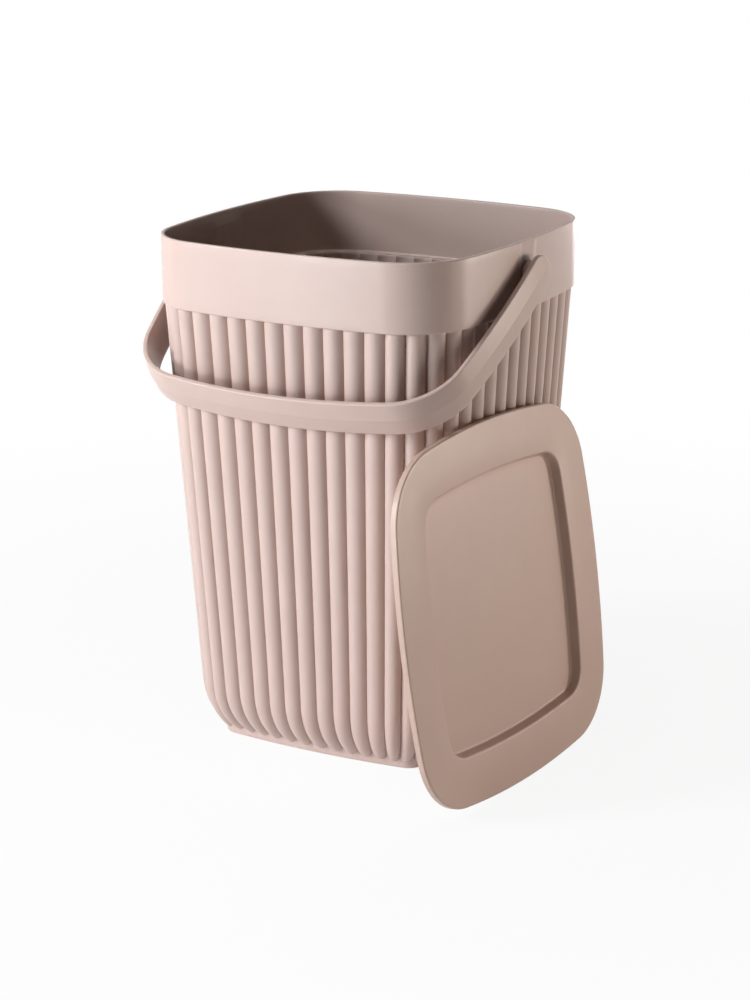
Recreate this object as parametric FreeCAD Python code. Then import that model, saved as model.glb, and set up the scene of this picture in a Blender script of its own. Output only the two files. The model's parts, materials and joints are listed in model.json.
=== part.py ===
"""A kitchen waste bin: ribbed body with a smooth collar, swing handle and loose lid.

Frame: origin at the centre of the foot, on the surface the bin stands on. +Z is up, the handle hangs
to the front (-Y), and the lid leans on the right side (+X). Lengths are millimetres, angles degrees.
"""
import FreeCAD
import Part
import math
import os

# Collar and rim
collar_width = 206.0          # across the rim, from the crown of one side to the other
bin_height = 305.0            # from the foot to the rim
collar_height = 40.0
collar_taper = 0.3            # how much the collar draws in at its lower edge, each side
collar_wall = 2.2
side_bow_radius = 512.0       # each side of the outline is a shallow arc
corner_radius = 41.0
rim_bevel = 0.6               # the rim's edge, inside and outside
collar_edge_bevel = 0.8       # less than the collar's overhang, so the ribs meet a flat underside

# Ribbed wall
ribs_per_side = 14
rib_depth = 3.2               # from valley to crest, just under the collar
flute_depth = 2.6             # the same wave on the inside, a little flatter
collar_overhang = 1.0         # the collar stands this much proud of the rib crests
wall_draft = 3.55             # lean of the wall from upright
wall_at_valley = 2.0
ledge_thickness = 2.0         # the web that joins the ribbed wall to the collar
tuck_start_height = 33.6      # where the ribs leave the straight wall and turn under
tuck_steps = 2                # bands round the tuck
flute_flats = 3               # flats to each flute inside

# Foot and floor
foot_width = 142.0
foot_taper = 0.44             # how much the foot band draws in at the bottom, each side
foot_height = 3.8             # the rib tips end here, and so does the inside of the bin
foot_corner_radius = 10.2
foot_step = 0.3               # the foot stands this much proud of the rib tips
foot_edge_bevel = 1.4
foot_ring = 4.0               # width of the ring that the bin stands on
foot_recess = 1.4             # the underside is raised inside that ring
floor_inset = 6.0             # the floor inside is this much narrower than the foot, each side

# Handle pivot
pivot_drop = 20.0             # below the rim
stud_radius = 5.0
stud_clearance = 0.08         # running clearance of the stud in its hole, on the radius
stud_hole_depth = 2.0         # the holes are blind and leave a skin inside
stud_end_gap = 0.3            # end play between the stud and the bottom of its hole
boss_radius = 8.0
boss_gap = 0.3                # between the spacer boss and the collar
groove_width = 18.5           # the lead-in groove from the rim to the pivot, outside
groove_depth = 0.5
pad_width = 25.0              # the thickened strip behind the groove, inside
pad_thickness = 1.2
pad_drop = 5.0                # below the rim

# Handle strap
strap_width = 23.0
strap_thickness = 3.0
strap_crown = 0.6             # the outer face rises to a crease along its middle
strap_side_gap = 5.4          # from the collar to the strap at the pivot
strap_front_gap = 22.0        # reach of the grip beyond the collar's half width
strap_arm_bow = 600.0
strap_grip_bow = 450.0
strap_corner_radius = 37.0
grip_gap = 0.4                # from the hanging grip to the rib it rests on

# Lid
lid_clearance = 0.5           # between the collar and the lid's skirt
lid_skirt_wall = 2.1
lid_edge_height = 4.0
lid_plate = 1.8
lid_edge_bevel = 0.6
recess_width = 153.6
recess_depth = 5.5
recess_corner_radius = 16.7
recess_bow_radius = 590.0
recess_wall_inset = 1.6       # how much the sunk panel's wall slopes in
recess_edge_bevel = 1.0
recess_floor_bevel = 1.3

# Where the lid leans
lean_tilt = 7.7               # from upright
lean_turn = -3.3              # about the upright axis, to lie along the bowed side
lean_shift = -46.0            # along the side, towards the front
lean_gap = 0.3                # from the lid to what it leans on

overrun = 10.0                # how far every cutting shape runs past what it cuts
seat_steps = 10               # rounds of closing in when the lid is brought to the wall

# Worked out from the sizes above
collar_half = collar_width / 2
collar_low = bin_height - collar_height
collar_low_half = collar_half - collar_taper
crest_top_half = collar_low_half - collar_overhang
draft = math.radians(wall_draft)
tuck_half = crest_top_half - (collar_low - tuck_start_height) * math.tan(draft)
rib_count = 4 * ribs_per_side
crest_wall = wall_at_valley + rib_depth - flute_depth
foot_half = foot_width / 2
ledge_height = collar_low + ledge_thickness
pivot_height = bin_height - pivot_drop
pivot_half = collar_half - collar_taper * pivot_drop / collar_height
hole_end = pivot_half - groove_depth - stud_hole_depth
strap_side = pivot_half + strap_side_gap
strap_reach = collar_half + strap_front_gap
UP = FreeCAD.Vector(0, 0, 1)


def vec(x, y, z):
    """A point or direction."""
    return FreeCAD.Vector(x, y, z)


class Outline:
    """A rounded square whose four sides are shallow arcs, tangent to the corner arcs."""

    def __init__(self, half, corner, bow):
        self.half = half
        self.corner = corner
        self.bow = bow
        back = bow - half
        reach = bow - corner
        self.back = back
        self.corner_centre = (math.sqrt(2 * reach ** 2 - back ** 2) - back) / 2
        self.side_angle = math.atan2(self.corner_centre, self.corner_centre + back)

    def moved_in(self, inset):
        """The outline parallel to this one, moved inwards by inset."""
        return Outline(self.half - inset, self.corner - inset, self.bow - inset)

    def at(self, turn):
        """Point and outward normal in the first quarter, turn being the normal's angle from +X."""
        if turn <= self.side_angle:
            centre = (-self.back, 0)
            radius = self.bow
        elif turn <= math.pi / 2 - self.side_angle:
            centre = (self.corner_centre, self.corner_centre)
            radius = self.corner
        else:
            centre = (0, -self.back)
            radius = self.bow
        normal = vec(math.cos(turn), math.sin(turn), 0)
        return vec(centre[0], centre[1], 0) + normal * radius, normal

    def turn_at(self, share):
        """The normal's angle at a share of the quarter's length, from one side's middle to the next."""
        side = self.bow * self.side_angle
        corner = self.corner * (math.pi / 2 - 2 * self.side_angle)
        run = share * (2 * side + corner)
        if run <= side:
            return run / self.bow
        if run <= side + corner:
            return self.side_angle + (run - side) / self.corner
        return math.pi / 2 - (2 * side + corner - run) / self.bow

    def round_the_loop(self, share):
        """Point and normal at a share of the whole loop, starting at the middle of the +X side."""
        quarter = math.floor(4 * share)
        point, normal = self.at(self.turn_at(4 * share - quarter))
        spin = FreeCAD.Rotation(UP, 90 * quarter)
        return spin.multVec(point), spin.multVec(normal)

    def wire(self, z):
        """The plain outline as a closed wire at height z."""
        stops = [-self.side_angle, self.side_angle, math.pi / 2 - self.side_angle]
        edges = []
        for quarter in range(4):
            spin = FreeCAD.Rotation(UP, 90 * quarter)
            for start, end in zip(stops[:-1], stops[1:]):
                middle = (start + end) / 2
                points = []
                for turn in (start, middle, end):
                    mirror = -1 if turn < 0 else 1
                    point, _ = self.at(abs(turn))
                    points.append(spin.multVec(vec(point.x, mirror * point.y, z)))
                edges.append(Part.Arc(*points).toShape())
        return Part.Wire(edges)

    def rib_arcs(self, depth, z):
        """The outline as crests of half-round ribs, with sharp valleys this deep between them."""
        valleys = []
        crests = []
        for rib in range(rib_count):
            point, normal = self.round_the_loop(rib / rib_count)
            valleys.append(point - normal * depth + UP * z)
            point, normal = self.round_the_loop((rib + 0.5) / rib_count)
            crests.append(point + UP * z)
        ends = valleys[1:] + valleys[:1]
        return [Part.Arc(a, b, c).toShape() for a, b, c in zip(valleys, crests, ends)]

    def ribbed_wire(self, depth, z):
        """Half-round ribs as a closed wire."""
        return Part.Wire(self.rib_arcs(depth, z))

    def fluted_wire(self, depth, z):
        """The same wave for the inside, with a few flats to each flute."""
        points = []
        for arc in self.rib_arcs(depth, z):
            points += arc.discretize(flute_flats + 1)[:-1]
        return Part.makePolygon(points + points[:1])


def prism(*stack):
    """A solid through plain outlines, given in turn with their heights from the lowest up."""
    wires = [outline.wire(z) for outline, z in zip(stack[::2], stack[1::2])]
    return Part.makeLoft(wires, True, True)


def cylinder_x(radius, x_from, x_to, z):
    """A round bar along X in the plane y = 0."""
    return Part.makeCylinder(radius, x_to - x_from, vec(x_from, 0, z), vec(1, 0, 0))


def collar_outline(half, inset):
    """The collar's outline at a half width, moved inwards by inset."""
    share = half / collar_half
    return Outline(half - inset, corner_radius * share - inset, side_bow_radius * share - inset)


def wall_sections(inset, depth, end_half, end_corner):
    """Outline, rib depth and height from the collar down to the foot, with crests moved in by inset.

    Seen from the side the crests are a straight line down to the tuck's start, then an arc tangent
    to it that ends at end_half on the foot. The corners tighten evenly as the outline draws in. The
    ribs grow shallower with the width.
    """
    across = inset / math.cos(draft)
    start = collar_outline(tuck_half, across)
    drop = tuck_start_height - foot_height
    draw = start.half - end_half
    end_angle = 2 * math.atan2(draw, drop) - draft
    radius = drop / (math.sin(end_angle) - math.sin(draft))
    sections = [(collar_outline(crest_top_half, across), collar_low), (start, tuck_start_height)]
    for step in range(1, tuck_steps + 1):
        angle = draft + (end_angle - draft) * step / tuck_steps
        drawn = radius * (math.cos(draft) - math.cos(angle))
        corner = start.corner + (end_corner - start.corner) * drawn / draw
        z = tuck_start_height - radius * (math.sin(angle) - math.sin(draft))
        sections.append((Outline(start.half - drawn, corner, start.bow - drawn), z))
    return [(outline, depth * outline.half / crest_top_half, z) for outline, z in sections]


def make_wall():
    """The ribbed wall as a tube with a flat ring at each end, and the wire of its hollow at the top."""
    ribs = wall_sections(0, rib_depth, foot_half - foot_step, foot_corner_radius)
    floor_corner = foot_corner_radius - crest_wall
    flutes = wall_sections(crest_wall, flute_depth, foot_half - floor_inset, floor_corner)
    outer = [outline.ribbed_wire(depth, z) for outline, depth, z in ribs]
    inner = [outline.fluted_wire(depth, z) for outline, depth, z in flutes]
    faces = [Part.Face([outer[end], inner[end]], "Part::FaceMakerBullseye") for end in (0, -1)]
    for wires in (outer, inner):
        faces += Part.makeLoft(wires, False, True).Faces
    skin = Part.makeShell(faces)
    skin.sewShape()
    return Part.Solid(skin), inner[0]


def pivot_slot(width, x_from, x_to, low, high):
    """An upright slab across the pivot axis, from low to high."""
    return Part.makeBox(x_to - x_from, width, high - low, vec(x_from, -width / 2, low))


def make_mouth():
    """The space inside the collar, less the two thickened strips behind the pivots."""
    low = collar_outline(collar_low_half, collar_wall)
    high = collar_outline(collar_half, collar_wall)
    edge = collar_outline(collar_half, collar_wall - rim_bevel)
    mouth = prism(low, ledge_height, high, bin_height - rim_bevel,
                  edge, bin_height, edge, bin_height + overrun)
    core_low = collar_outline(collar_low_half, collar_wall + pad_thickness)
    core_high = collar_outline(collar_half, collar_wall + pad_thickness)
    core = prism(core_low, ledge_height, core_high, bin_height)
    pads = pivot_slot(pad_width, -collar_half, collar_half, ledge_height, bin_height - pad_drop)
    return mouth.cut(pads.cut(core))


def make_grooves(collar):
    """The shallow lead-in grooves outside, from the rim down to each pivot."""
    slot = pivot_slot(groove_width, -collar_width, collar_width, pivot_height, bin_height + overrun)
    slot = slot.fuse(cylinder_x(groove_width / 2, -collar_width, collar_width, pivot_height))
    core_low = collar_outline(collar_low_half, groove_depth)
    core_high = collar_outline(collar_half, groove_depth)
    core = prism(core_low, collar_low, core_high, bin_height)
    return collar.common(slot).cut(core)


def make_collar(throat_wire):
    """The smooth band round the mouth, with the ledge inside that the ribbed wall hangs from."""
    under = collar_outline(collar_low_half, collar_edge_bevel)
    lower = collar_outline(collar_low_half, 0)
    rim = collar_outline(collar_half, 0)
    edge = collar_outline(collar_half, rim_bevel)
    collar = prism(under, collar_low, lower, collar_low + collar_edge_bevel,
                   rim, bin_height - rim_bevel, edge, bin_height)
    bore = stud_radius + stud_clearance
    holes = [cylinder_x(bore, hole_end, collar_width, pivot_height),
             cylinder_x(bore, -collar_width, -hole_end, pivot_height)]
    throat = Part.Face(throat_wire).extrude(UP * collar_height)
    return collar.cut([make_mouth(), make_grooves(collar)] + holes).cut(throat)


def make_foot():
    """The band that the bin stands on, with the floor across it and a raised underside."""
    high = Outline(foot_half, foot_corner_radius, side_bow_radius)
    low = high.moved_in(foot_taper)
    sole = low.moved_in(foot_edge_bevel)
    recess = sole.moved_in(foot_ring)
    foot = prism(sole, 0, low, foot_edge_bevel, high, foot_height)
    return foot.cut(prism(recess, -overrun, recess, foot_recess))


def make_body():
    """Collar, ribbed wall and foot as one moulding."""
    wall, throat_wire = make_wall()
    return make_collar(throat_wire).fuse([wall, make_foot()])


class Strap:
    """The handle's U in its own plane: x across the bin, y away from the pivot axis."""

    def __init__(self, offset):
        self.arm = strap_arm_bow + offset
        self.corner = strap_corner_radius + offset
        self.grip = strap_grip_bow + offset
        self.arm_centre = vec(strap_side - strap_arm_bow, 0, 0)
        self.grip_centre = vec(0, strap_reach - strap_grip_bow, 0)
        between = self.grip_centre - self.arm_centre
        along = FreeCAD.Vector(between).normalize()
        across = vec(along.y, -along.x, 0)
        from_arm = self.arm - self.corner
        from_grip = self.grip - self.corner
        run = (from_arm ** 2 - from_grip ** 2 + between.Length ** 2) / (2 * between.Length)
        rise = math.sqrt(from_arm ** 2 - run ** 2)
        ends = [self.arm_centre + along * run + across * side * rise for side in (1, -1)]
        self.corner_centre = max(ends, key=lambda point: point.x + point.y)
        to_arm = self.corner_centre - self.arm_centre
        to_grip = self.corner_centre - self.grip_centre
        self.arm_angle = math.atan2(to_arm.y, to_arm.x)
        self.grip_angle = math.atan2(to_grip.y, to_grip.x)

    def edges(self, level):
        """The U as five arcs at a level across the strap, from one end round to the other."""
        end = -math.asin(strap_width / 2 / strap_arm_bow)
        spans = [(self.arm_centre, self.arm, end, self.arm_angle),
                 (self.corner_centre, self.corner, self.arm_angle, self.grip_angle),
                 (self.grip_centre, self.grip, self.grip_angle, math.pi / 2)]
        half = []
        for centre, radius, start, stop in spans:
            points = []
            for angle in (start, (start + stop) / 2, stop):
                point = centre + vec(math.cos(angle), math.sin(angle), 0) * radius
                points.append(vec(point.x, -point.y, level))
            half.append(points)
        mirrored = [[vec(-p.x, p.y, p.z) for p in points] for points in half]
        grip = [half[2][0], half[2][2], mirrored[2][0]]
        chain = half[:2] + [grip] + [points[::-1] for points in mirrored[1::-1]]
        return [Part.Arc(*points).toShape() for points in chain]


def strap_wire(level, thickness):
    """The strap's closed section at one level across its width."""
    inner = Strap(0).edges(level)
    outer = Strap(thickness).edges(level)
    ends = [Part.makeLine(inner[0].Vertexes[0].Point, outer[0].Vertexes[0].Point),
            Part.makeLine(inner[-1].Vertexes[-1].Point, outer[-1].Vertexes[-1].Point)]
    return Part.Wire(Part.__sortEdges__(inner + outer + ends))


def hang_angle():
    """How far below level the handle hangs when its grip rests on the rib crests.

    The grip's inner lower edge meets the sloping crest line, less the gap there.
    """
    slope = math.tan(draft)
    cos_part = strap_reach + slope * strap_width / 2
    sin_part = slope * strap_reach - strap_width / 2
    target = crest_top_half + grip_gap + slope * (pivot_height - collar_low)
    return math.atan2(sin_part, cos_part) + math.acos(target / math.hypot(cos_part, sin_part))


def make_handle():
    """Strap, spacer bosses and studs as one moulding, hanging to the front."""
    middle = strap_wire(0, strap_thickness + strap_crown)
    halves = []
    for level in (-strap_width / 2, strap_width / 2):
        halves.append(Part.makeLoft([middle, strap_wire(level, strap_thickness)], True, True))
    strap = halves[0].fuse(halves[1])
    room = strap_reach + strap_thickness + strap_crown + overrun
    front = Part.makeBox(2 * room, room, 2 * strap_width, vec(-room, -room, -strap_width))
    strap = strap.common(front.fuse(cylinder_x(strap_width / 2, -room, room, 0)))

    outside = pivot_half - groove_depth + boss_gap
    root = strap_side + strap_thickness / 2
    bars = []
    for side in (1, -1):
        spans = [(stud_radius, hole_end + stud_end_gap, outside), (boss_radius, outside, root)]
        for radius, start, stop in spans:
            low, high = sorted((side * start, side * stop))
            bars.append(cylinder_x(radius, low, high, 0))
    handle = strap.fuse(bars).removeSplitter()
    handle.rotate(vec(0, 0, 0), vec(1, 0, 0), math.degrees(hang_angle()))
    handle.translate(vec(0, 0, pivot_height))
    return handle


def make_lid():
    """Plate with a skirt and a sunk panel, top face level at height zero."""
    edge = collar_outline(collar_half, -lid_clearance - lid_skirt_wall)
    skirt = collar_outline(collar_half, -lid_clearance)
    plate = prism(edge, -lid_edge_height, edge, -lid_edge_bevel, edge.moved_in(lid_edge_bevel), 0)
    plate = plate.cut(prism(skirt, -lid_edge_height - overrun, skirt, -lid_plate))

    opening = Outline(recess_width / 2, recess_corner_radius, recess_bow_radius)
    flare = opening.moved_in(-recess_edge_bevel)
    wall_foot = opening.moved_in(recess_wall_inset)
    panel = wall_foot.moved_in(recess_floor_bevel)
    sunk = prism(panel, -recess_depth, wall_foot, recess_floor_bevel - recess_depth,
                 opening, -recess_edge_bevel, flare, 0, flare, overrun)
    tray = prism(wall_foot.moved_in(-lid_plate), -recess_depth - lid_plate,
                 opening.moved_in(-lid_plate), -lid_plate / 2)
    return plate.fuse(tray).cut(sunk)


def lean(lid, handle):
    """Stands the lid on the floor, face outwards, and leans it on the ribs of the right side.

    Where the handle's arm hangs low enough to be in the way, the lid leans on that.
    """
    upright = FreeCAD.Rotation(vec(1, 1, 1), 120)
    tilt = FreeCAD.Rotation(vec(0, 1, 0), -lean_tilt)
    turn = FreeCAD.Rotation(UP, lean_turn)
    start = vec(collar_width, lean_shift, bin_height)
    leaning = lid.copy()
    leaning.Placement = FreeCAD.Placement(start, turn.multiply(tilt).multiply(upright))
    floor = Part.makePlane(4 * collar_width, 4 * collar_width, vec(-2 * collar_width, -2 * collar_width, 0))
    leaning.translate(UP * -leaning.distToShape(floor)[0])
    crests = prism(collar_outline(tuck_half, 0), tuck_start_height,
                   collar_outline(crest_top_half, 0), collar_low)
    for _ in range(seat_steps):
        nearest = min(leaning.distToShape(solid)[0] for solid in (crests, handle))
        leaning.translate(vec(lean_gap - nearest, 0, 0))
    return leaning


os.makedirs("parts", exist_ok=True)
hung_handle = make_handle()
nodes = {"bin_body": make_body(), "handle": hung_handle, "lid": lean(make_lid(), hung_handle)}
for name, shape in nodes.items():
    shape.exportStep("parts/" + name + ".step")
    print(name, "valid" if shape.isValid() else "NOT VALID", "solids", len(shape.Solids),
          "volume", round(shape.Volume), "box", shape.BoundBox)
print("handle hangs", round(math.degrees(hang_angle()), 2), "degrees below level")
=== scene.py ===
"""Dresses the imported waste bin: ribbed body, swing handle and loose lid in moulded polypropylene.

Sizes in the classes are millimetres and angles degrees; only the lamps, the floor and the camera's clipping are
in metres. Meshes are written in metres, in the frame's own axes: +Z up, handle hanging to the front (-Y), lid
leaning on the right side (+X).
"""
import json
import logging
import math
from dataclasses import dataclass
from enum import Enum
from typing import Any

import bmesh
import bpy
import numpy as np
from mathutils import Matrix, Vector


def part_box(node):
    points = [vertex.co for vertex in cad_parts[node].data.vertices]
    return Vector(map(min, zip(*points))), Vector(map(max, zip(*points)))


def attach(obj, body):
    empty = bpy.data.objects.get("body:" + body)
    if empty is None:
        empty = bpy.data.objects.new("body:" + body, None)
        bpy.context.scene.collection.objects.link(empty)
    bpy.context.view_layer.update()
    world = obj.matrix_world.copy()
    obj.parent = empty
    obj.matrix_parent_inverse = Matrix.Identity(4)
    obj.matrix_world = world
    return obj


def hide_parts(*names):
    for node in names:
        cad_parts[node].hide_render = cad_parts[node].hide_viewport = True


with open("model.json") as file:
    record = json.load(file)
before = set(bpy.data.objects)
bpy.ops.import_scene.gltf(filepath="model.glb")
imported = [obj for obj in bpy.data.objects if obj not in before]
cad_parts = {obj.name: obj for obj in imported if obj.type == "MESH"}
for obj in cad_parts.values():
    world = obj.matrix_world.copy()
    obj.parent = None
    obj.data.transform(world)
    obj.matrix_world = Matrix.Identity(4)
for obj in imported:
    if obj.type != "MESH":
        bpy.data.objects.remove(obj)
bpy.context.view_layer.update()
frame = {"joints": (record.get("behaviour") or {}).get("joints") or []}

MM = 0.001
WHITE = (1.0, 1.0, 1.0, 1.0)
COLOUR_A, COLOUR_B = 6, 7            # the Mix node's colour inputs, whose names other inputs of it share
LOG = logging.getLogger("waste_bin")
Array = np.ndarray


class Side(Enum):
    """The two sides that carry a pivot, as the sign of X."""

    RIGHT = 1
    LEFT = -1


# Plain helpers


def linear(code: str) -> tuple[float, float, float, float]:
    """Turns an sRGB hex colour into linear light.

    Up to 0.04045 the light is the value over 12.92, and above it the value plus 0.055, over 1.055, to the
    power of 2.4.

    Args:
        code: six hex digits, with or without a leading hash.

    Returns:
        Linear red, green, blue and an alpha of one.
    """
    raw = np.array([int(code.lstrip("#")[i:i + 2], 16) / 255 for i in (0, 2, 4)])
    value = np.where(raw <= 0.04045, raw / 12.92, ((raw + 0.055) / 1.055) ** 2.4)
    return (float(value[0]), float(value[1]), float(value[2]), 1.0)


def add_node(tree: bpy.types.NodeTree, kind: str, settings: dict[str, Any] | None = None,
             inputs: dict[str | int, Any] | None = None) -> bpy.types.Node:
    """Adds a node with its settings, and fills or links its inputs.

    Args:
        tree: the node tree that takes the node.
        kind: Blender's type name of the node.
        settings: attributes to set on the node.
        inputs: socket name or number to a value, or to a pair of node and output name for a link.

    Returns:
        The new node.
    """
    node = tree.nodes.new(kind)
    for key, value in (settings or {}).items():
        setattr(node, key, value)
    for key, value in (inputs or {}).items():
        if isinstance(value, tuple) and isinstance(value[0], bpy.types.Node):
            tree.links.new(value[0].outputs[value[1]], node.inputs[key])
        else:
            node.inputs[key].default_value = value
    return node


def quarter_round(steps: int) -> tuple[Array, Array]:
    """Sine and cosine over a quarter turn, both ends included, as columns.

    Args:
        steps: number of flats on the quarter.

    Returns:
        The sines and the cosines, each of shape (steps + 1, 1).
    """
    angle = np.linspace(0, np.pi / 2, steps + 1)[:, None]
    return np.sin(angle), np.cos(angle)


def column(*values: float) -> Array:
    """Numbers as a column, one for each ring."""
    return np.array(values, float)[:, None]


def ramp(distance: Array, width: float) -> Array:
    """Rises from 0 to 1 while a distance grows from 0 to width, and is level before and after."""
    return np.clip(distance / width, 0, 1)


def stack(x: Array, y: Array, z: Array | float) -> Array:
    """Joins coordinates into points, broadcast to one shape."""
    return np.stack(np.broadcast_arrays(x, y, z), axis=-1)


def drawn_in(ring: Array, shares: tuple[float, ...], z: float) -> Array:
    """Copies of a ring at height z, each drawn in towards the axis to a share of its size."""
    scale = np.array(shares)[:, None, None]
    return ring * np.array([1, 1, 0]) * scale + np.array([0, 0, z])


@dataclass(frozen=True)
class Outline:
    """A rounded square whose four sides are shallow arcs, or several at once.

    Half is the distance from the centre to the crown of a side, corner the radius of the corner arcs and bow
    that of the side arcs. Each is one number, or an array with a value for every ring or point.
    """

    half: Array | float
    corner: Array | float
    bow: Array | float

    def inset(self, distance: Array | float) -> "Outline":
        """The outline moved inwards by a distance."""
        return Outline(self.half - distance, self.corner - distance, self.bow - distance)

    def arcs(self) -> tuple[Array, Array, Array]:
        """Works out where the arcs of a quarter meet.

        The side's centre lies back from the middle by bow less half. The corner arc touches the side's from
        within, so that their centres are bow less corner apart, and its own centre is on the diagonal.

        Returns:
            How far back the side's centre lies, the corner centre's x, and the angle of half a side.
        """
        back = self.bow - self.half
        apart = self.bow - self.corner
        centre = (np.sqrt(2 * apart ** 2 - back ** 2) - back) / 2
        return back, centre, np.arctan2(centre, centre + back)

    def length(self) -> Array:
        """Length of the whole loop: eight half sides and four corner arcs."""
        angle = self.arcs()[2]
        return 8 * self.bow * angle + 4 * self.corner * (np.pi / 2 - 2 * angle)

    def rings(self, z: Array | float, share: Array, fall: Array | float = 0.0) -> Array:
        """Points on the outline, each moved inwards along its normal by a fall.

        Each quarter is half a side arc, a corner arc and half the next side arc, all tangent. A share of the
        loop is turned into a run along its quarter, the run into the angle of the normal, and the point is
        the arc's centre plus its radius along that normal, turned by the quarter.

        Args:
            z: height of every ring or point.
            share: place along the loop, from 0 at the middle of the +X side to 1.
            fall: how far each point lies inside the outline, measured level.

        Returns:
            Points of shape (rings, columns, 3), or (columns, 3) where all values are those of one ring.
        """
        (back, centre, side_angle), bow, corner = self.arcs(), self.bow, self.corner
        side = bow * side_angle
        arc = corner * (np.pi / 2 - 2 * side_angle)
        quarter = np.floor(4 * share)
        run = (4 * share - quarter) * (2 * side + arc)
        first = run <= side
        last = run > side + arc
        turn = np.where(first, run / bow, np.where(last, np.pi / 2 - (2 * side + arc - run) / bow,
                                                   side_angle + (run - side) / corner))
        reach = np.where(first | last, bow, corner) - fall
        x = np.where(first, -back, np.where(last, 0, centre)) + reach * np.cos(turn)
        y = np.where(first, 0, np.where(last, -back, centre)) + reach * np.sin(turn)
        cos = np.cos(quarter * np.pi / 2)
        sin = np.sin(quarter * np.pi / 2)
        return stack(x * cos - y * sin, x * sin + y * cos, z)


def clean(mesh: bpy.types.Mesh, merge: float) -> None:
    """Makes points closer than merge millimetres one, and all faces of a closed mesh point outwards."""
    work = bmesh.new()
    work.from_mesh(mesh)
    if merge:
        bmesh.ops.remove_doubles(work, verts=work.verts, dist=merge * MM)
        bmesh.ops.dissolve_degenerate(work, edges=work.edges, dist=merge * MM)
    bmesh.ops.recalc_face_normals(work, faces=work.faces)
    if work.calc_volume(signed=True) < 0:
        bmesh.ops.reverse_faces(work, faces=work.faces)
    work.to_mesh(mesh)
    work.free()


def grid_object(name: str, grid: Array, smooth_below: float, poles: bool = False,
                merge: float = 0.0) -> bpy.types.Object:
    """Makes an object from a grid of points, closed round its columns.

    Every four neighbouring points make a face. With poles, a point at the mean of the first ring and one
    at the mean of the last close the two ends with fans.

    Args:
        name: the piece's name.
        grid: points in millimetres, of shape (rings, columns, 3).
        smooth_below: edges that bend by more than this many degrees stay sharp.
        poles: close both ends to a point.
        merge: distance in millimetres below which points become one, 0 for none.

    Returns:
        The object, linked to the scene, at the origin.
    """
    rings, columns = grid.shape[:2]
    index = np.arange(rings * columns).reshape(rings, columns)
    after = np.roll(index, -1, axis=1)
    quads = np.stack([index[:-1], after[:-1], after[1:], index[1:]], axis=-1).reshape(-1, 4)
    points = grid.reshape(-1, 3)
    faces = quads.tolist()
    if poles:
        ends = np.stack([grid[0].mean(axis=0), grid[-1].mean(axis=0)])
        points = np.concatenate([points, ends])
        total = rings * columns
        first = np.stack([np.full(columns, total), after[0], index[0]], axis=-1)
        last = np.stack([index[-1], after[-1], np.full(columns, total + 1)], axis=-1)
        faces += first.tolist() + last.tolist()
    mesh = bpy.data.meshes.new(name)
    mesh.from_pydata((points * MM).tolist(), [], faces)
    clean(mesh, merge)
    mesh.shade_smooth()
    mesh.set_sharp_from_angle(angle=math.radians(smooth_below))
    piece = bpy.data.objects.new(name, mesh)
    bpy.context.scene.collection.objects.link(piece)
    return piece


# Finishes


@dataclass(frozen=True)
class Noise:
    """One noise of a finish: the size of its features, its detail and its roughness."""

    size: float
    detail: float
    roughness: float

    def add(self, tree: bpy.types.NodeTree, place: bpy.types.Node) -> bpy.types.Node:
        """Adds the noise to a tree, on the Object output of a coordinates node."""
        return add_node(tree, "ShaderNodeTexNoise", None, {
            "Vector": (place, "Object"), "Scale": 1 / (self.size * MM), "Detail": self.detail,
            "Roughness": self.roughness})


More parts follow.
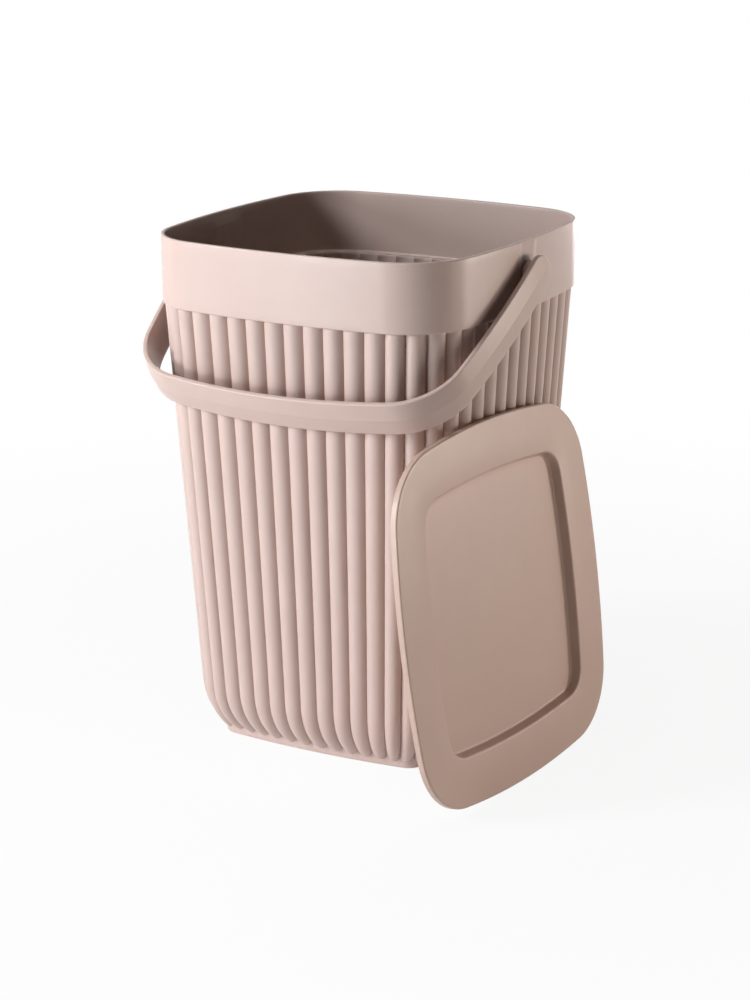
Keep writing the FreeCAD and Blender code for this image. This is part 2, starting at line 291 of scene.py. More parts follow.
@dataclass(frozen=True)
class MouldedPolypropylene:
    """Satin polypropylene from a finely spark-eroded mould.

    To the eye that is an even, slightly chalky colour with a broad soft sheen, no mirror highlights, a very
    fine grain that softens the sheen, and faint cloudy flow differences where the melt met.
    """

    name: str
    colour: str
    cloud_colour: str
    roughness: tuple[float, float] = (0.30, 0.38)
    clouds: Noise = Noise(45.0, 3.0, 0.55)
    streaks: Noise = Noise(9.0, 4.0, 0.6)
    grain: Noise = Noise(0.9, 2.0, 0.5)                  # the real grain is about 0.1 mm, too fine to show
    streak_share: float = 0.35                           # weight of the streaks in the colour
    cloud_range: tuple[float, float] = (0.45, 0.9)       # values of the noises that give the two colours
    streak_range: tuple[float, float] = (0.3, 0.7)       # and the two ends of the roughness
    grain_height: float = 0.012
    grain_strength: float = 0.35
    ior: float = 1.49
    specular: float = 0.33

    def material(self) -> bpy.types.Material:
        """Builds the material.

        Two noises of different size move the colour between the base and the cloud colour and the roughness
        between its limits; a fine noise bumps the surface.

        Returns:
            A node material that reads Object coordinates.
        """
        made = bpy.data.materials.new(self.name)
        made.use_nodes = True
        tree = made.node_tree
        tree.nodes.clear()
        place = add_node(tree, "ShaderNodeTexCoord")
        clouds = self.clouds.add(tree, place)
        streaks = self.streaks.add(tree, place)
        grain = self.grain.add(tree, place)
        both = add_node(tree, "ShaderNodeMath", {"operation": "MULTIPLY_ADD"}, {
            0: (streaks, "Fac"), 1: self.streak_share, 2: (clouds, "Fac")})
        spread = add_node(tree, "ShaderNodeMapRange", None, {
            "Value": (both, "Value"), "From Min": self.cloud_range[0], "From Max": self.cloud_range[1]})
        colour = add_node(tree, "ShaderNodeMix", {"data_type": "RGBA"}, {
            "Factor": (spread, "Result"), COLOUR_A: linear(self.colour), COLOUR_B: linear(self.cloud_colour)})
        gloss = add_node(tree, "ShaderNodeMapRange", None, {
            "Value": (streaks, "Fac"), "From Min": self.streak_range[0], "From Max": self.streak_range[1],
            "To Min": self.roughness[0], "To Max": self.roughness[1]})
        bump = add_node(tree, "ShaderNodeBump", None, {
            "Height": (grain, "Fac"), "Strength": self.grain_strength, "Distance": self.grain_height * MM})
        shader = add_node(tree, "ShaderNodeBsdfPrincipled", None, {
            "Base Color": (colour, "Result"), "Roughness": (gloss, "Result"), "Normal": (bump, "Normal"),
            "IOR": self.ior, "Specular IOR Level": self.specular})
        add_node(tree, "ShaderNodeOutputMaterial", None, {"Surface": (shader, "BSDF")})
        return made


# Sub-assemblies


@dataclass
class Piece:
    """What every dressed piece needs: its material and the names it goes by in the frame."""

    material: bpy.types.Material
    body: str
    slot: str

    def dress(self, piece: bpy.types.Object, *nodes: str) -> bpy.types.Object:
        """Gives a piece its material and body, and has it stand for CAD nodes.

        Args:
            piece: the new object.
            nodes: the CAD nodes that it replaces, if any.

        Returns:
            The same object.
        """
        piece.data.materials.append(self.material)
        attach(piece, self.body)
        if nodes:
            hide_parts(*nodes)
        LOG.info("%s: %d faces", piece.name, len(piece.data.polygons))
        return piece


@dataclass
class BinBody(Piece):
    """The bin itself: smooth collar, ribbed tapering wall that tucks under, and foot, as one moulding."""

    collar_half: float = 103.0
    collar_low_half: float = 102.7
    rim_height: float = 305.0
    collar_low: float = 265.0
    collar_corner: float = 41.0
    side_bow: float = 512.0
    collar_wall: float = 2.2
    rim_round: float = 0.75
    lower_round: float = 0.7
    crest_top_half: float = 101.7
    rib_count: int = 56
    rib_depth: float = 3.9
    flute_depth: float = 2.6
    crest_wall: float = 2.6
    draft: float = 3.55
    tuck_start: float = 33.6
    tuck_rings: int = 16
    tip_spread: float = 0.12         # how much wider the rib tips stand on the sides than at the corners
    tip_loss: float = 0.12           # share of its depth that a rib loses on the way to its tip
    spread_power: int = 2            # powers of the way down the tuck with which the tips spread,
    flute_power: int = 3             # the flutes fade out
    seam_power: int = 4              # and the ribs are drawn to the foot's outline
    foot_half: float = 71.0
    foot_taper: float = 0.44
    foot_corner: float = 10.4
    foot_bow: float = 508.0
    foot_height: float = 4.0
    foot_round: float = 2.0
    foot_ring: float = 4.0
    foot_recess: float = 1.4
    recess_round: float = 0.5
    band_rise: float = 0.999         # share of the foot's band that its last ring rises to
    floor_inset: float = 6.0
    ledge_height: float = 267.0
    ledge_round: float = 1.2         # round between the collar's inside and the ledge
    cap_round: float = 1.3           # round of the ledge's scalloped inner edge
    pivot_height: float = 285.0
    groove_half: float = 9.25
    groove_depth: float = 0.5
    groove_step: float = 0.45        # width of the groove's sloping side
    pad_half: float = 12.5
    pad_thickness: float = 1.2
    pad_top: float = 297.0
    pad_step: float = 5.0            # width over which the pad fades out
    side_share: float = 0.9          # share of the collar's half width beyond which a point is left or right
    flats: int = 5                   # flats on each small round
    smooth_below: float = 38.0
    phases: tuple[float, ...] = (    # places over one rib, closer together at the valleys
        0, 0.025, 0.07, 0.14, 0.24, 0.36, 0.5, 0.64, 0.76, 0.86, 0.93, 0.975)
    wall_levels: tuple[float, ...] = (262, 250, 225, 195, 160, 125, 90, 60, 45)
    outside_levels: tuple[float, ...] = (268, 272, 274.5, 275.6, 276.6, 278, 280, 282.5, 285, 290, 296, 301)
    inside_top: float = 302.5
    inside_levels: tuple[float, ...] = (296, 288, 280, 274, 270, 268.2)
    panel_shares: tuple[float, ...] = (0.05, 0.35, 0.7, 0.97)
    floor_shares: tuple[float, ...] = (0.97, 0.6, 0.25, 0.04)

    def __post_init__(self) -> None:
        """Works out the columns of the grid and where the tuck starts.

        A column's share of the loop at the foot is its share on the wall plus a sine with one wave to each of
        the four sides, which moves the rib tips apart on the sides and together at the corners.
        """
        phases = np.array(self.phases)
        wave = 4 * 2 * np.pi
        self.phase = np.tile(phases, self.rib_count)
        self.share = ((np.arange(self.rib_count)[:, None] + phases) / self.rib_count).ravel()
        self.tip_share = self.share + self.tip_spread / wave * np.sin(wave * self.share)
        self.lean = math.radians(self.draft)
        self.slope = math.tan(self.lean)
        self.tuck_half = self.crest_top_half - (self.collar_low - self.tuck_start) * self.slope
        self.foot_outline = Outline(self.foot_half, self.foot_corner, self.foot_bow)

    def collar_outline(self, half: Array | float) -> Outline:
        """The collar's outline, scaled to a half width."""
        ratio = half / self.collar_half
        return Outline(half, self.collar_corner * ratio, self.side_bow * ratio)

    def collar_half_at(self, z: Array) -> Array:
        """Half width of the slightly tapered collar at heights z."""
        up = (z - self.collar_low) / (self.rim_height - self.collar_low)
        return self.collar_low_half + (self.collar_half - self.collar_low_half) * up

    def on_sides(self, points: Array) -> Array:
        """True where a point is on the left or right side of the collar."""
        return np.abs(points[..., 0]) > self.collar_half * self.side_share

    def rib_fall(self, outline: Outline, depth: Array | float) -> Array:
        """How far the surface falls from the crests, for every column.

        Each rib is an arc over its pitch: with half pitch w and depth h its radius is (w^2 + h^2) / 2h, and
        the fall at a distance x from the crest is the radius less the root of radius^2 - x^2.

        Args:
            outline: outline of the crests.
            depth: fall at the valleys.

        Returns:
            The fall, broadcast over rings and columns.
        """
        half_pitch = outline.length() / self.rib_count / 2
        radius = (half_pitch ** 2 + depth ** 2) / (2 * depth)
        x = (2 * self.phase - 1) * half_pitch
        return radius - np.sqrt(radius ** 2 - x ** 2)

    def wall(self, inset: float, depth: float) -> Array:
        """The straight ribbed wall from the collar down to the tuck, as rings of half-round ribs.

        Args:
            inset: how far the crests lie inside the outer crests, measured level.
            depth: rib depth just under the collar; it shrinks with the width.

        Returns:
            Points of shape (rings, columns, 3).
        """
        z = column(self.collar_low, *self.wall_levels, self.tuck_start)
        half = self.crest_top_half - (self.collar_low - z) * self.slope
        outline = self.collar_outline(half).inset(inset)
        return outline.rings(z, self.share, self.rib_fall(outline, depth * half / self.crest_top_half))

    def tuck(self, inset: float, depth: float, end: Outline, seam: Array | None) -> Array:
        """The arc that turns the ribbed wall under, tangent to the wall.

        A column's crest runs on the arc through an angle a. Its own surface lies deeper by the rib's fall, which
        turns from level at the wall to the arc's normal at the end. Outside it ends where it meets the upright
        foot: cos a is the foot's distance from the arc's centre over the radius less the fall. The valleys so
        end higher than the crests. Inside, the flutes fade out and all columns end together on the floor.

        Args:
            inset: how far the crests lie inside the outer crests, measured level.
            depth: rib depth at the collar.
            end: outline on which the crests end, at the foot's height.
            seam: points of the foot's outline that the last ring is drawn to, or none for the inside.

        Returns:
            Points of shape (rings, columns, 3), from the wall down.
        """
        start = self.collar_outline(self.tuck_half).inset(inset)
        drop = self.tuck_start - self.foot_height
        draw = start.half - end.half
        last = 2 * math.atan2(draw, drop) - self.lean
        radius = drop / (math.sin(last) - math.sin(self.lean))
        centre_half = start.half - radius * math.cos(self.lean)
        centre_z = self.tuck_start + radius * math.sin(self.lean)
        first_fall = self.rib_fall(start, depth * self.tuck_half / self.crest_top_half)
        last_fall = first_fall * (1 - self.tip_loss)
        t = np.linspace(0, 1, self.tuck_rings + 1)[1:, None]
        fall = first_fall + (last_fall - first_fall) * t
        share = self.share
        ends = np.full_like(last_fall, last)
        if seam is None:
            fall = fall * (1 - t ** self.flute_power)
        else:
            share = share + (self.tip_share - share) * t ** self.spread_power
            ends = np.arccos((end.half - centre_half) / (radius - last_fall))
        angle = self.lean + (ends - self.lean) * t
        drawn = radius * (math.cos(self.lean) - np.cos(angle))
        corner = start.corner + (end.corner - start.corner) * np.clip(drawn / draw, 0, 1)
        outline = Outline(start.half - drawn, corner, start.bow - drawn)
        dip = angle * t
        z = centre_z - radius * np.sin(angle) + fall * np.sin(dip)
        points = outline.rings(z, share, fall * np.cos(dip))
        if seam is not None:
            pull = (t ** self.seam_power)[..., None]
            points[..., :2] += pull * (seam - points[-1, :, :2])
        return points

    def foot(self, seam: Array, seam_z: Array) -> Array:
        """The plain upright band below the rib tips, its sole and the raised underside, from the centre out.

        Args:
            seam: points of the band's outline, one for each column.
            seam_z: height at which each column's rib ends on the band.

        Returns:
            Points of shape (rings, columns, 3), from the underside's centre to just below the rib tips.
        """
        def ring(inset: Array | float, z: Array | float) -> Array:
            """Rings of the foot's outline, moved inwards by inset, at heights z."""
            return self.foot_outline.inset(inset).rings(z, self.tip_share)

        sin, cos = quarter_round(self.flats)
        inner = self.foot_taper + self.foot_round + self.foot_ring
        small = self.recess_round
        panel = drawn_in(ring(inner + small, 0.0), self.panel_shares, self.foot_recess)
        wall = ring(inner + small * (1 - sin), self.foot_recess - small * (1 - cos))
        edge = ring(inner - small * (1 - cos), small * (1 - sin))
        curve = ring(self.foot_taper + self.foot_round * (1 - sin), self.foot_round * (1 - cos))
        low = curve[-1, :, :2]
        t = column(0.5, 1.0)
        across = low + (seam - low) * t[..., None]
        rise = self.foot_round + t * (seam_z - self.foot_round) * self.band_rise
        return np.concatenate([panel, wall, edge, curve, stack(across[..., 0], across[..., 1], rise)])

    def snapped(self) -> Array:
        """The columns' shares on the collar, with the nearest columns moved to the groove's and pad's edges."""
        length = float(self.collar_outline(self.collar_half).length())
        edges = np.array([self.groove_half, self.groove_half + self.groove_step, self.pad_half,
                          self.pad_half + self.pad_step])
        places = np.concatenate([edges, -edges]) / length
        share = self.share.copy()
        for middle in (0.0, 0.5):    # the middles of the right and the left side
            wanted = (places + middle) % 1.0
            gap = np.abs((self.share[:, None] - wanted + 0.5) % 1.0 - 0.5)
            share[gap.argmin(axis=0)] = wanted
        return share

    def collar_outside(self, share: Array) -> Array:
        """The collar from its flat underside, round the lower edge and up the side to the rim's outer round.

        The lead-in groove is a shallow fall over a strip that ends in a half circle round the pivot.

        Args:
            share: the columns' places along the loop.

        Returns:
            Points of shape (rings, columns, 3).
        """
        sin, cos = quarter_round(self.flats)
        low = self.collar_outline(self.collar_low_half)
        under = low.inset(self.lower_round).rings(column(self.collar_low), share)
        edge = low.inset(self.lower_round * (1 - sin)).rings(
            self.collar_low + self.lower_round * (1 - cos), share)
        z = column(*self.outside_levels, self.rim_height - self.rim_round)
        outline = self.collar_outline(self.collar_half_at(z))
        plain = outline.rings(z, share)
        away = np.hypot(plain[..., 1], np.minimum(z - self.pivot_height, 0))
        fall = self.groove_depth * ramp(self.groove_half + self.groove_step - away, self.groove_step)
        fall = fall * self.on_sides(plain)
        side = outline.rings(z, share, fall)
        top = self.collar_outline(self.collar_half).inset(self.rim_round * (1 - cos)).rings(
            self.rim_height - self.rim_round * (1 - sin), share, fall[-1] * (1 - sin))
        return np.concatenate([under, edge[1:], side, top[1:]])

    def collar_inside(self, share: Array) -> Array:
        """The rim's inner round, the collar's inside with the two thickened strips, and the ledge's round."""
        sin, cos = quarter_round(self.flats)
        wall = self.collar_wall
        top = self.collar_outline(self.collar_half).inset(wall - self.rim_round * (1 - sin)).rings(
            self.rim_height - self.rim_round * (1 - cos), share)
        fade = self.pad_top + self.pad_step
        z = column(self.inside_top, fade, self.pad_top, *self.inside_levels)
        outline = self.collar_outline(self.collar_half_at(z)).inset(wall)
        plain = outline.rings(z, share)
        across = ramp(self.pad_half + self.pad_step - np.abs(plain[..., 1]), self.pad_step)
        fall = self.pad_thickness * across * ramp(fade - z, self.pad_step) * self.on_sides(plain)
        side = outline.rings(z, share, fall)
        inward = self.ledge_round * (1 - cos)
        toe = self.collar_outline(self.collar_low_half).inset(wall + inward).rings(
            self.ledge_height + self.ledge_round * (1 - sin), share, np.maximum(fall[-1] - inward, 0))
        return np.concatenate([top, side, toe])

    def build(self) -> bpy.types.Object:
        """Builds the whole shell as one closed grid, from the underside's centre round to the floor's.

        Returns:
            The dressed body.
        """
        seam = self.foot_outline.rings(0.0, self.tip_share)[:, :2]
        tuck = self.tuck(0.0, self.rib_depth, self.foot_outline, seam)
        foot = self.foot(seam, tuck[-1, :, 2])
        outer = np.concatenate([self.wall(0.0, self.rib_depth), tuck])[::-1]
        inset = self.crest_wall / math.cos(self.lean)
        flutes = self.wall(inset, self.flute_depth)
        end = Outline(self.foot_half - self.floor_inset, self.foot_corner - self.crest_wall, self.foot_bow)
        hollow = self.tuck(inset, self.flute_depth, end, None)
        floor = drawn_in(hollow[-1], self.floor_shares, self.foot_height)
        sin, cos = quarter_round(self.flats)
        crests = self.collar_outline(self.crest_top_half)
        fall = self.rib_fall(crests.inset(inset), self.flute_depth)
        cap = crests.inset(inset - self.cap_round * (1 - sin)).rings(
            self.ledge_height - self.cap_round * (1 - cos), self.share, fall)
        share = self.snapped()
        grid = np.concatenate([foot, outer, self.collar_outside(share), self.collar_inside(share), cap,
                               flutes, hollow, floor])
        return self.dress(grid_object("bin_body_shell", grid, self.smooth_below, poles=True), "bin_body")


@dataclass
class StrapHandle(Piece):
    """The swing handle: a crowned strap bent to a U, with a spacer boss and a stud at each end."""

    pivot_height: float = 285.0
    side: float = 108.25
    reach: float = 125.0
    arm_bow: float = 600.0
    grip_bow: float = 450.0
    corner: float = 37.0
    half_width: float = 11.5
    thickness: float = 2.7
    crown: float = 0.9
    outer_round: float = 0.8
    inner_round: float = 0.5
    edge_middle: float = 1.4         # height of the line along the middle of the strap's edge
    inner_lines: tuple[float, ...] = (9.0, 6.5, 4.0, 2.0)              # distances from the edge, inner face
    outer_lines: tuple[float, ...] = (2.0, 4.0, 5.6, 6.4, 7.2, 9.0)    # and outer face
    crease_half: float = 0.2
    dimple_radius: float = 5.2
    dimple_depth: float = 0.12
    dimple_slope: float = 0.8
    end_columns: int = 33
    fine_run: float = 14.0           # run from the pivot with short steps
    fine_step: float = 1.0
    long_step: float = 3.0
    step_gap: float = 2.0            # room between runs of unlike steps
    grip_run: float = 18.0           # run up to the grip's middle with even steps
    grip_columns: int = 9
    boss_radius: float = 8.0
    boss_start: float = 102.65
    stud_radius: float = 5.0
    stud_start: float = 102.3
    lip_round: float = 0.4
    root_depth: float = 0.6          # how far the boss runs into the strap
    root_round: float = 1.2
    pole_radius: float = 1.5
    pivot_columns: int = 64
    strap_flats: int = 5
    pivot_flats: int = 4
    strap_smooth_below: float = 50.0
    pivot_smooth_below: float = 40.0
    merge: float = 0.005
    hang: float = 33.04

    def __post_init__(self) -> None:
        """Works out the tangent corner arc between the arm and the grip.

        Its centre is where two circles cross: one about the arm's centre and one about the grip's, each smaller
        than the arm's or grip's own arc by the corner's radius.
        """
        arm = np.array([self.side - self.arm_bow, 0.0])
        grip = np.array([0.0, self.reach - self.grip_bow])
        between = grip - arm
        gap = float(np.hypot(*between))
        along = between / gap
        across = np.array([along[1], -along[0]])
        from_arm = self.arm_bow - self.corner
        from_grip = self.grip_bow - self.corner
        run = (from_arm ** 2 - from_grip ** 2 + gap ** 2) / (2 * gap)
        rise = math.sqrt(from_arm ** 2 - run ** 2)
        crossings = [arm + along * run + across * sign * rise for sign in (1, -1)]
        bend = max(crossings, key=lambda point: float(point.sum()))
        arm_end = math.atan2(bend[1] - arm[1], bend[0] - arm[0])
        grip_start = math.atan2(bend[1] - grip[1], bend[0] - grip[0])
        turns = np.array([arm_end, grip_start - arm_end, math.pi / 2 - grip_start])
        self.centres = np.array([arm, bend, grip])
        self.radii = np.array([self.arm_bow, self.corner, self.grip_bow])
        self.starts = np.array([0.0, arm_end, grip_start])
        self.stops = np.concatenate([[0.0], np.cumsum(self.radii * turns)])
        self.middle = self.stops[-1]

    def place(self, run: Array, width: Array, out: Array) -> Array:
        """Carries a point of the strap to the frame.

        The run goes along the inner face from one pivot; past the grip's middle it is mirrored. A point is its
        arc's centre plus the arc's radius and its height over the inner face along the arc's normal, with its
        place across the strap at right angles to that plane. The plane hangs from the pivot axis.

        Args:
            run: distance along the inner face from the right pivot.
            width: distance from the strap's middle line.
            out: height over the inner face.

        Returns:
            Points in millimetres.
        """
        mirrored = run > self.middle
        near = np.where(mirrored, 2 * self.middle - run, run)
        arc = np.clip(np.searchsorted(self.stops, near, side="right") - 1, 0, len(self.radii) - 1)
        angle = self.starts[arc] + (near - self.stops[arc]) / self.radii[arc]
        radius = self.radii[arc] + out
        x = (self.centres[arc, 0] + radius * np.cos(angle)) * np.where(mirrored, -1, 1)
        away = self.centres[arc, 1] + radius * np.sin(angle)
        hang = math.radians(self.hang)
        y = -away * math.cos(hang) - width * math.sin(hang)
        z = -away * math.sin(hang) + width * math.cos(hang) + self.pivot_height
        return stack(x, y, z)

    def contour(self) -> tuple[Array, Array, Array]:
        """The strap's contour: two long sides and a half circle about each pivot.

        Returns:
            The run of each column's centre, and the direction from there to the contour, along and across.
        """
        turn = np.linspace(-np.pi / 2, np.pi / 2, self.end_columns)
        total = 2 * self.middle
        grip = self.middle - self.grip_run
        run = np.concatenate([
            np.arange(self.fine_step, self.fine_run, self.fine_step),
            np.arange(self.fine_run + self.step_gap, grip - self.step_gap, self.long_step),
            np.linspace(grip, self.middle, self.grip_columns)])
        run = np.concatenate([run, total - run[-2::-1]])
        none, one = np.zeros_like(run), np.ones_like(run)
        return (np.concatenate([np.zeros_like(turn), run, np.full_like(turn, total), run[::-1]]),
                np.concatenate([-np.cos(turn), none, np.cos(turn), none]),
                np.concatenate([np.sin(turn), one, -np.sin(turn), -one]))

    def strap(self) -> bpy.types.Object:
        """Builds the strap as a profile carried round its contour.

        The profile goes from the middle of the inner face over the rounded edge to the crease on the outer face,
        which rises by the crown. A shallow dimple is sunk over each pivot.

        Returns:
            The dressed strap.
        """
        centre, along, across = self.contour()
        sin, cos = (wave.ravel() for wave in quarter_round(self.strap_flats))
        inner, outer, half = self.inner_round, self.outer_round, self.half_width
        lower_inset = np.concatenate([[half, *self.inner_lines], inner * (1 - sin), [0.0]])
        lower_height = np.concatenate([
            np.zeros(len(self.inner_lines) + 1), inner * (1 - cos), [self.edge_middle]])
        upper_inset = np.concatenate([outer * (1 - cos), self.outer_lines, [half - self.crease_half, half]])
        upper_fall = np.concatenate([outer * (1 - sin), np.zeros(len(self.outer_lines) + 2)])
        reach = half - np.concatenate([lower_inset, upper_inset])[:, None]
        run = centre + along * reach
        width = across * reach
        from_pivot = np.hypot(np.minimum(run, 2 * self.middle - run), width)
        dent = self.dimple_depth * ramp(self.dimple_radius - from_pivot, self.dimple_slope)
        height = self.thickness + self.crown * (1 - np.abs(width) / half) - dent
        height[len(lower_height):] -= upper_fall[:, None]
        height[:len(lower_height)] = lower_height[:, None]
        grid = self.place(run, width, height)
        piece = grid_object("handle_strap", grid, self.strap_smooth_below, merge=self.merge)
        return self.dress(piece, "handle")

    def pivot(self, side: Side) -> bpy.types.Object:
        """Turns the boss and stud of one side about the pivot axis.

        Args:
            side: which side of the bin.

        Returns:
            The dressed pivot.
        """
        sin, cos = (wave.ravel() for wave in quarter_round(self.pivot_flats))
        stud, boss, lip, fillet = self.stud_radius, self.boss_radius, self.lip_round, self.root_round
        root = self.side + self.root_depth
        along = np.concatenate([
            [self.stud_start], self.stud_start + lip * (1 - cos), [self.boss_start, self.boss_start],
            self.boss_start + lip * (1 - cos), [root - fillet], root - fillet * (1 - sin), [root]])
        radius = np.concatenate([
            [self.pole_radius], stud - lip * (1 - sin), [stud, boss - lip],
            boss - lip * (1 - sin), [boss], boss + fillet * (1 - cos), [self.pole_radius]])
        angle = np.linspace(0, 2 * np.pi, self.pivot_columns, endpoint=False)
        y = radius[:, None] * np.cos(angle)
        z = radius[:, None] * np.sin(angle) + self.pivot_height
        grid = stack(side.value * along[:, None], y, z)
        name = "handle_pivot_" + side.name.lower()
        return self.dress(grid_object(name, grid, self.pivot_smooth_below, poles=True))

    def build(self) -> None:
        """Builds the strap and both pivots."""
        self.strap()
        for side in Side:
            self.pivot(side)


@dataclass
class LooseLid(Piece):
    """The flat lid with a shallow skirt and a sunk panel, leaning on the right side of the bin."""

    half: float = 105.6
    corner: float = 43.6
    bow: float = 514.6
    edge_height: float = 4.0
    plate: float = 1.8
    skirt_wall: float = 2.1
    skirt_bevel: float = 0.3
    edge_round: float = 0.9
    edge_drop: float = 0.8           # from the edge's round down to the skirt's first ring
    flange_lines: tuple[float, ...] = (14.0, 6.0, 2.5)
    recess_half: float = 76.8
    recess_corner: float = 16.7
    recess_bow: float = 590.0
    recess_depth: float = 5.5
    wall_inset: float = 1.6
    rim_round: float = 1.3
    rim_spread: float = 0.8          # width of the panel rim's round over its height
    floor_round: float = 1.275
    panel_margin: float = 0.6        # flat strip between the panel's round and its outermost ring
    under_bevel: float = 0.5
    under_reach: float = 8.0         # width of the flat strip inside the skirt
    tray_bevel: float = 0.6
    panel_shares: tuple[float, ...] = (0.04, 0.3, 0.6, 0.85, 0.97)
    columns: int = 384
    flats: int = 6
    smooth_below: float = 38.0

    def ring(self, outline: Outline, inset: Array | float, z: Array | float) -> Array:
        """Rings of an outline, moved inwards by inset, at heights z."""
        return outline.inset(inset).rings(z, np.arange(self.columns) / self.columns)

    def profile(self) -> Array:
        """The lid lying flat, face up: rings from the panel's centre out over the flange and back underneath."""
        sin, cos = quarter_round(self.flats)
        recess = Outline(self.recess_half, self.recess_corner, self.recess_bow)
        outer = Outline(self.half, self.corner, self.bow)
        deep, plate, wall = self.recess_depth, self.plate, self.skirt_wall
        foot = self.wall_inset + self.floor_round
        panel = drawn_in(self.ring(recess, foot + self.panel_margin, 0.0), self.panel_shares, -deep)
        low = self.ring(recess, foot - self.floor_round * sin, -deep + self.floor_round * (1 - cos))
        slope = self.wall_inset / deep
        bend = self.rim_round
        high = self.ring(recess, slope * bend * cos - bend * self.rim_spread * (1 - cos), -bend * (1 - sin))
        flange = self.ring(outer, column(*self.flange_lines), 0.0)
        edge = self.ring(outer, self.edge_round * (1 - sin), -self.edge_round * (1 - cos))
        hem = self.skirt_bevel
        skirt_low = -self.edge_height
        side = self.ring(outer, column(0.0, 0.0, hem),
                         column(-self.edge_round - self.edge_drop, skirt_low + hem, skirt_low))
        bevel = self.under_bevel
        under = self.ring(outer, column(wall - hem, wall, wall, wall + bevel, wall + self.under_reach),
                          column(skirt_low, skirt_low + hem, -plate - bevel, -plate, -plate))
        tray_in = self.wall_inset - plate
        tray_low = -deep - plate
        tray = self.ring(recess, column(-plate - bevel, -plate, tray_in, tray_in + self.tray_bevel),
                         column(-plate, -plate - bevel, tray_low + self.tray_bevel, tray_low))
        back = drawn_in(self.ring(recess, foot, 0.0), self.panel_shares[::-1], tray_low)
        return np.concatenate([panel, low, high, flange, edge, side, under, tray, back])

    def build(self) -> bpy.types.Object:
        """Builds the lid, turned to lean as the CAD lid does, and set on the CAD lid's place.

        The slide's axis is the face's normal: its height gives the lean and its heading the turn.

        Returns:
            The dressed lid.
        """
        axis = Vector(next(j["axis"] for j in frame["joints"] if j["child"] == "lid")).normalized()
        turn = Matrix.Rotation(math.atan2(axis.y, axis.x), 3, "Z")
        tilt = Matrix.Rotation(-math.asin(axis.z), 3, "Y")
        upright = Matrix(((0, 0, 1), (1, 0, 0), (0, 1, 0)))
        grid = self.profile() @ np.array(turn @ tilt @ upright).T
        low, high = (np.array(corner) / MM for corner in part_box("lid"))
        flat = grid.reshape(-1, 3)
        grid = grid + (low + high) / 2 - (flat.min(axis=0) + flat.max(axis=0)) / 2
        return self.dress(grid_object("lid_plate", grid, self.smooth_below, poles=True), "lid")


# Studio


def direction(heading: float, rise: float) -> Vector:
    """Unit vector at a heading from the front (-Y) towards the right (+X), and at a rise above level."""
    turn, up = math.radians(heading), math.radians(rise)
    return Vector((math.sin(turn) * math.cos(up), -math.cos(turn) * math.cos(up), math.sin(up)))


def seen_straight(tree: bpy.types.NodeTree) -> bpy.types.Node:
    """Adds nodes that tell what is seen from what is lit.

    Args:
        tree: the node tree that takes the nodes.

    Returns:
        A node whose Value is one for camera, glossy and transmission rays, and zero for all others.
    """
    ray = add_node(tree, "ShaderNodeLightPath")
    straight = add_node(tree, "ShaderNodeMath", {"operation": "MAXIMUM"}, {
        0: (ray, "Is Camera Ray"), 1: (ray, "Is Transmission Ray")})
    return add_node(tree, "ShaderNodeMath", {"operation": "MAXIMUM"}, {
        0: (straight, "Value"), 1: (ray, "Is Glossy Ray")})


@dataclass(frozen=True)
class Lamp:
    """A soft rectangular lamp: its direction from the bin, its width and height, its watts and its colour."""

    name: str
    heading: float
    rise: float
    size: tuple[float, float]
    watts: float
    colour: str

    def add(self, aim: Vector, distance: float) -> None:
        """Adds the lamp to the scene.

        Args:
            aim: the point that it faces.
            distance: how far it stands from there.
        """
        data = bpy.data.lights.new(self.name, "AREA")
        data.shape = "RECTANGLE"
        data.size, data.size_y = self.size
        data.energy = self.watts
        data.color = linear(self.colour)[:3]
        away = direction(self.heading, self.rise)
        made = bpy.data.objects.new(self.name, data)
        made.location = aim + away * distance
        made.rotation_mode = "QUATERNION"
        made.rotation_quaternion = (-away).to_track_quat("-Z", "Y")
        bpy.context.scene.collection.objects.link(made)


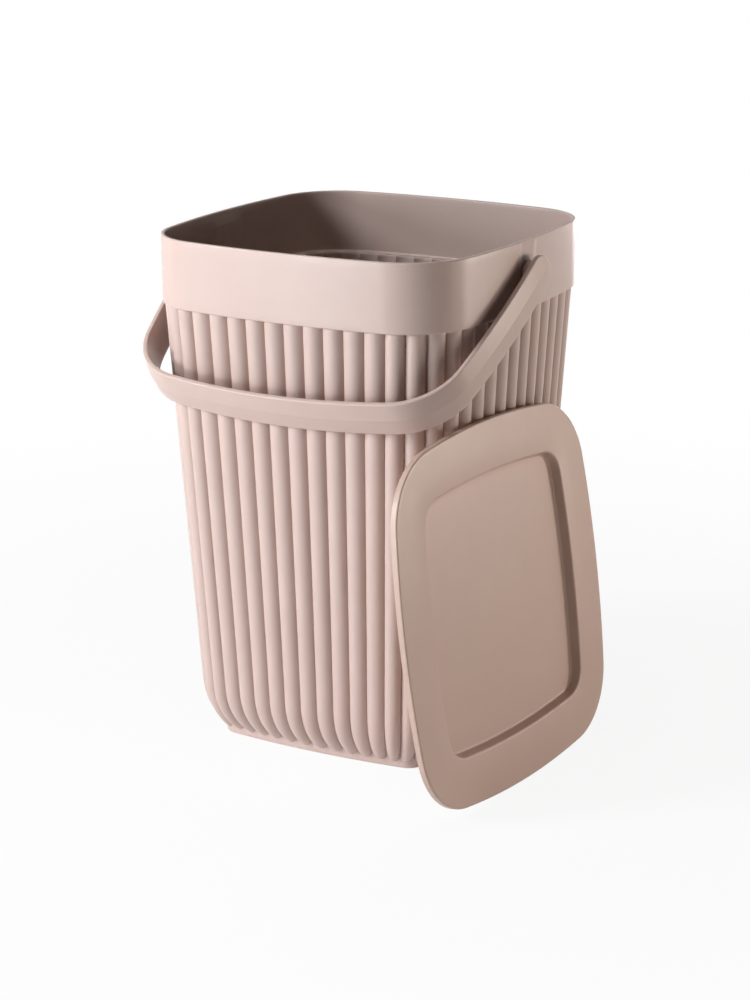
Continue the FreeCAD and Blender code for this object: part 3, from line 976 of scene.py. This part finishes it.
@dataclass
class Studio:
    """White floor and background, with soft lamps: bright from the front left, weaker from the right and back."""

    focal_share: float = 2.70493     # focal length over the sensor's width
    heading: float = 30.282
    height_angle: float = 15.513
    roll: float = -0.306
    distance: float = 1658.07
    aim_right: float = -4.128
    aim_up: float = 144.708
    shift: tuple[float, float] = (0.0086, -0.0200)
    sensor: float = 36.0
    clip: tuple[float, float] = (0.05, 100.0)
    lamp_distance: float = 1.5
    lamp_aim: float = 0.16
    floor_colour: str = "#F4F4F4"
    floor_reach: float = 20.0
    shadow_start: float = 0.12       # metres from the bin's middle where the shadow starts to fade out
    shadow_reach: float = 0.85       # and beyond which the floor is plain white
    floor_glow: float = 0.90         # how much of the floor near the bin is seen as plain white
    lamps: tuple[Lamp, ...] = (
        Lamp("key_high", -35.0, 28.0, (0.34, 0.52), 14.6, "#F6FBFF"),
        Lamp("key_middle", -46.0, 9.0, (0.36, 0.34), 9.2, "#F6FBFF"),
        Lamp("key_low", -22.0, 1.0, (0.32, 0.30), 7.6, "#F6FBFF"),
        Lamp("fill_rear", 128.0, 1.0, (0.36, 0.32), 8.4, "#FFF3E8"),
        Lamp("fill_side", 102.0, 1.0, (0.32, 0.32), 2.8, "#FFF3E8"),
        Lamp("back", 177.0, 0.5, (0.4, 0.24), 3.6, "#FCFDFF"),
        Lamp("overhead", -20.0, 82.0, (0.5, 0.5), 3.6, "#FFF8F3"))

    def camera(self) -> None:
        """Sets the camera at the photograph's viewing angle, from its heading, height, roll and aim."""
        turn, roll = math.radians(self.heading), math.radians(self.roll)
        back = direction(self.heading, self.height_angle)
        right = Vector((math.cos(turn), math.sin(turn), 0))
        up = back.cross(right)
        across = right * math.cos(roll) + up * math.sin(roll)
        upward = up * math.cos(roll) - right * math.sin(roll)
        place = (across * self.aim_right + upward * self.aim_up + back * self.distance) * MM
        data = bpy.data.cameras.new("camera")
        data.sensor_width = self.sensor
        data.lens = self.sensor * self.focal_share
        data.shift_x, data.shift_y = self.shift
        data.clip_start, data.clip_end = self.clip
        made = bpy.data.objects.new("camera", data)
        made.matrix_world = Matrix((
            (across.x, upward.x, back.x, place.x), (across.y, upward.y, back.y, place.y),
            (across.z, upward.z, back.z, place.z), (0, 0, 0, 1)))
        bpy.context.scene.collection.objects.link(made)
        bpy.context.scene.camera = made

    def world(self) -> None:
        """White to the camera and to reflections, and no light on anything else."""
        world = bpy.data.worlds.new("studio")
        world.use_nodes = True
        tree = world.node_tree
        tree.nodes.clear()
        light = add_node(tree, "ShaderNodeBackground", None, {
            "Color": WHITE, "Strength": (seen_straight(tree), "Value")})
        add_node(tree, "ShaderNodeOutputWorld", None, {"Surface": (light, "Background")})
        bpy.context.scene.world = world

    def floor(self) -> None:
        """A wide matt white floor that reads as white and keeps a soft shadow of the object."""
        made = bpy.data.materials.new("matt_white_floor")
        made.use_nodes = True
        tree = made.node_tree
        tree.nodes.clear()
        seen = seen_straight(tree)
        place = add_node(tree, "ShaderNodeNewGeometry")
        away = add_node(tree, "ShaderNodeVectorMath", {"operation": "LENGTH"}, {0: (place, "Position")})
        fade = add_node(tree, "ShaderNodeMapRange", {"interpolation_type": "SMOOTHSTEP"}, {
            "Value": (away, "Value"), "From Min": self.shadow_start, "From Max": self.shadow_reach,
            "To Min": self.floor_glow, "To Max": 1.0})
        share = add_node(tree, "ShaderNodeMath", {"operation": "MULTIPLY"}, {
            0: (seen, "Value"), 1: (fade, "Result")})
        matt = add_node(tree, "ShaderNodeBsdfDiffuse", None, {"Color": linear(self.floor_colour)})
        white = add_node(tree, "ShaderNodeEmission", None, {"Color": WHITE, "Strength": 1.0})
        both = add_node(tree, "ShaderNodeMixShader", None, {
            0: (share, "Value"), 1: (matt, "BSDF"), 2: (white, "Emission")})
        add_node(tree, "ShaderNodeOutputMaterial", None, {"Surface": (both, "Shader")})
        mesh = bpy.data.meshes.new("floor")
        reach = self.floor_reach
        mesh.from_pydata([(-reach, -reach, 0), (reach, -reach, 0), (reach, reach, 0), (-reach, reach, 0)], [],
                         [(0, 1, 2, 3)])
        mesh.materials.append(made)
        piece = bpy.data.objects.new("floor", mesh)
        bpy.context.scene.collection.objects.link(piece)

    def build(self) -> None:
        """Sets up the camera, world, floor and lamps."""
        self.camera()
        self.world()
        self.floor()
        for lamp in self.lamps:
            lamp.add(Vector((0, 0, self.lamp_aim)), self.lamp_distance)
        bpy.context.scene.view_settings.view_transform = "Standard"


def main() -> None:
    logging.basicConfig(level=logging.INFO, format="%(name)s: %(message)s")
    Studio().build()
    bin_plastic = MouldedPolypropylene("moulded_polypropylene_bin", "#C1AAA1", "#BDA69D")
    handle_plastic = MouldedPolypropylene("moulded_polypropylene_handle", "#C1AAA0", "#BDA69C")
    # The lid's two colours are a darker, more saturated copy of the bin's: painted shade, for the deeper tone the
    # lid takes on in its shade.
    lid_plastic = MouldedPolypropylene("moulded_polypropylene_lid_painted_shade", "#C2A698", "#BEA294")
    BinBody(bin_plastic.material(), "bin", "bin_plastic").build()
    StrapHandle(handle_plastic.material(), "handle", "handle_plastic").build()
    LooseLid(lid_plastic.material(), "lid", "lid_plastic").build()


if __name__ == "__main__":
    main()
